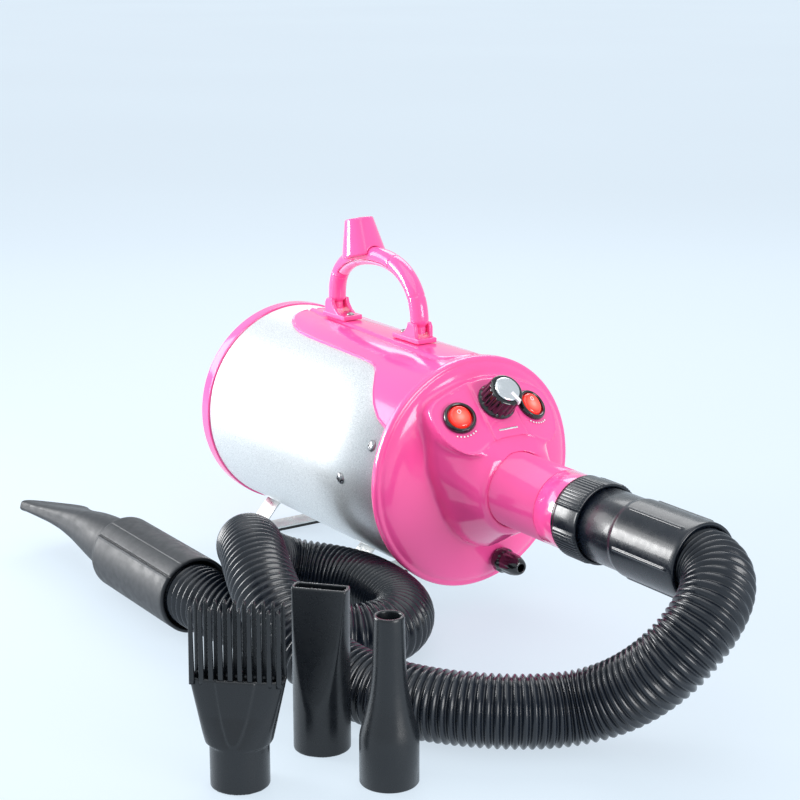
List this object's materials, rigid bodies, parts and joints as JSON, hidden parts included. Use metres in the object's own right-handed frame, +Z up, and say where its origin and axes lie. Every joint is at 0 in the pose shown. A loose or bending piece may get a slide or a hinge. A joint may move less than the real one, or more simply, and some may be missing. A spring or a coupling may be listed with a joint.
{
  "type": "pet dryer",
  "caption": "Barrel-shaped blower dryer with a control panel, a carrying handle, strip-steel stands, a corrugated hose with a flat nozzle, and loose nozzles beside it.",
  "frame": {"origin": "on the floor, under the middle of the front foot strip", "axes": "+X along the barrel towards the air outlet, +Z up, +Y to the left of someone looking along +X"},
  "size_m": [0.6345, 0.414, 0.2852],
  "materials": {
    "pink_abs": "glossy moulded ABS, hot pink",
    "pale_pink_abs": "satin moulded ABS, paler pink",
    "black_abs": "glossy black ABS",
    "charcoal_abs": "satin charcoal ABS",
    "hose_plastic": "glossy blue-black corrugated plastic",
    "speckled_steel": "silver-grey speckled paint on rolled steel",
    "plated_steel": "zinc-plated steel",
    "cast_aluminium": "cast aluminium",
    "brushed_aluminium": "spun, brushed aluminium",
    "dark_steel": "dark laminated steel",
    "copper_winding": "lacquered copper wire",
    "foot_rubber": "black rubber",
    "filter_foam": "open-cell foam",
    "red_lens": "translucent red lens, lit from behind",
    "mica_board": "mica board",
    "green_board": "glass-epoxy circuit board"
  },
  "bodies": {
    "housing": {"barrel": "speckled_steel", "rear_cap": "pink_abs", "filter_guard": "plated_steel", "front_cover": "pink_abs", "heat_bezel": "black_abs", "fan_bezel": "black_abs", "potentiometer": "plated_steel", "cable_gland": "black_abs", "gland_nut": "black_abs", "outlet_pipe": "pink_abs", "outlet_tip": "pink_abs", "top_saddle": "pink_abs", "handle_arch": "pink_abs", "grip_insert": "pale_pink_abs", "hose_rest": "pink_abs", "handle_foot_rear": "pink_abs", "handle_foot_front": "pink_abs", "handle_screw_rear": "plated_steel", "handle_screw_front": "plated_steel", "stand_front": "plated_steel", "stand_rear": "plated_steel", "foot_strip_front": "foot_rubber", "foot_strip_rear": "foot_rubber", "fan_housing": "plated_steel", "stator": "dark_steel", "rear_bearing": "plated_steel", "front_bearing": "plated_steel", "rear_bearing_bracket": "dark_steel", "front_bearing_bracket": "dark_steel", "motor_mount_ring": "foot_rubber", "heater_shroud": "plated_steel", "heater_frame": "mica_board", "heater_coil": "copper_winding", "control_board": "green_board", "hose": "hose_plastic", "hose_sleeve": "hose_plastic", "end_cuff": "charcoal_abs", "barrel_screw_1": "plated_steel", "barrel_screw_2": "plated_steel", "barrel_screw_3": "plated_steel", "barrel_screw_4": "plated_steel", "stand_screw_front_left": "plated_steel", "stand_screw_front_right": "plated_steel", "stand_screw_rear_left": "plated_steel", "stand_screw_rear_right": "plated_steel"},
    "rotor": {"impeller": "cast_aluminium", "motor_shaft": "plated_steel", "armature": "copper_winding"},
    "knob": {"speed_knob": "black_abs", "knob_cap": "brushed_aluminium"},
    "heat_switch": {"heat_rocker": "red_lens"},
    "fan_switch": {"fan_rocker": "red_lens"},
    "collar": {"hose_collar": "hose_plastic"},
    "inlet": {"inlet_grille": "pink_abs", "filter_sponge": "filter_foam"},
    "wide_nozzle_body": {"wide_nozzle": "charcoal_abs"},
    "round_nozzle_body": {"round_nozzle": "charcoal_abs"},
    "flat_nozzle_body": {"flat_nozzle": "charcoal_abs"},
    "comb_nozzle_body": {"comb_nozzle": "charcoal_abs"}
  },
  "joints": [
    {"name": "impeller_spin", "type": "hinge", "parent": "housing", "child": "rotor", "pos_m": [-0.02, 0, 0.108], "axis": [1, 0, 0], "continuous": true},
    {"name": "speed_knob_turn", "type": "hinge", "parent": "housing", "child": "knob", "pos_m": [0.12808, 0, 0.1682], "axis": [0.7278, 0, 0.6858], "range_deg": [0, 270]},
    {"name": "heat_rocker_tilt", "type": "hinge", "parent": "housing", "child": "heat_switch", "pos_m": [0.12961, -0.0341, 0.1614], "axis": [-0.1513, -0.9781, -0.1426], "range_deg": [-4, 4]},
    {"name": "fan_rocker_tilt", "type": "hinge", "parent": "housing", "child": "fan_switch", "pos_m": [0.13005, 0.0313, 0.1618], "axis": [-0.1513, 0.9781, -0.1426], "range_deg": [-4, 4]},
    {"name": "collar_turn", "type": "hinge", "parent": "housing", "child": "collar", "pos_m": [0.243, 0, 0.108], "axis": [1, 0, 0], "range_deg": [0, 60]},
    {"name": "inlet_pull", "type": "slide", "parent": "housing", "child": "inlet", "axis": [-1, 0, 0], "range_m": [0, 0.04]},
    {"name": "wide_nozzle_pull", "type": "slide", "parent": "housing", "child": "wide_nozzle_body", "axis": [-1, 0, 0], "range_m": [0, 0.05]},
    {"name": "round_nozzle_lift", "type": "slide", "parent": "housing", "child": "round_nozzle_body", "axis": [0, 0, 1], "range_m": [0, 0.1]},
    {"name": "flat_nozzle_lift", "type": "slide", "parent": "housing", "child": "flat_nozzle_body", "axis": [0, 0, 1], "range_m": [0, 0.1]},
    {"name": "comb_nozzle_lift", "type": "slide", "parent": "housing", "child": "comb_nozzle_body", "axis": [0, 0, 1], "range_m": [0, 0.1]}
  ]
}
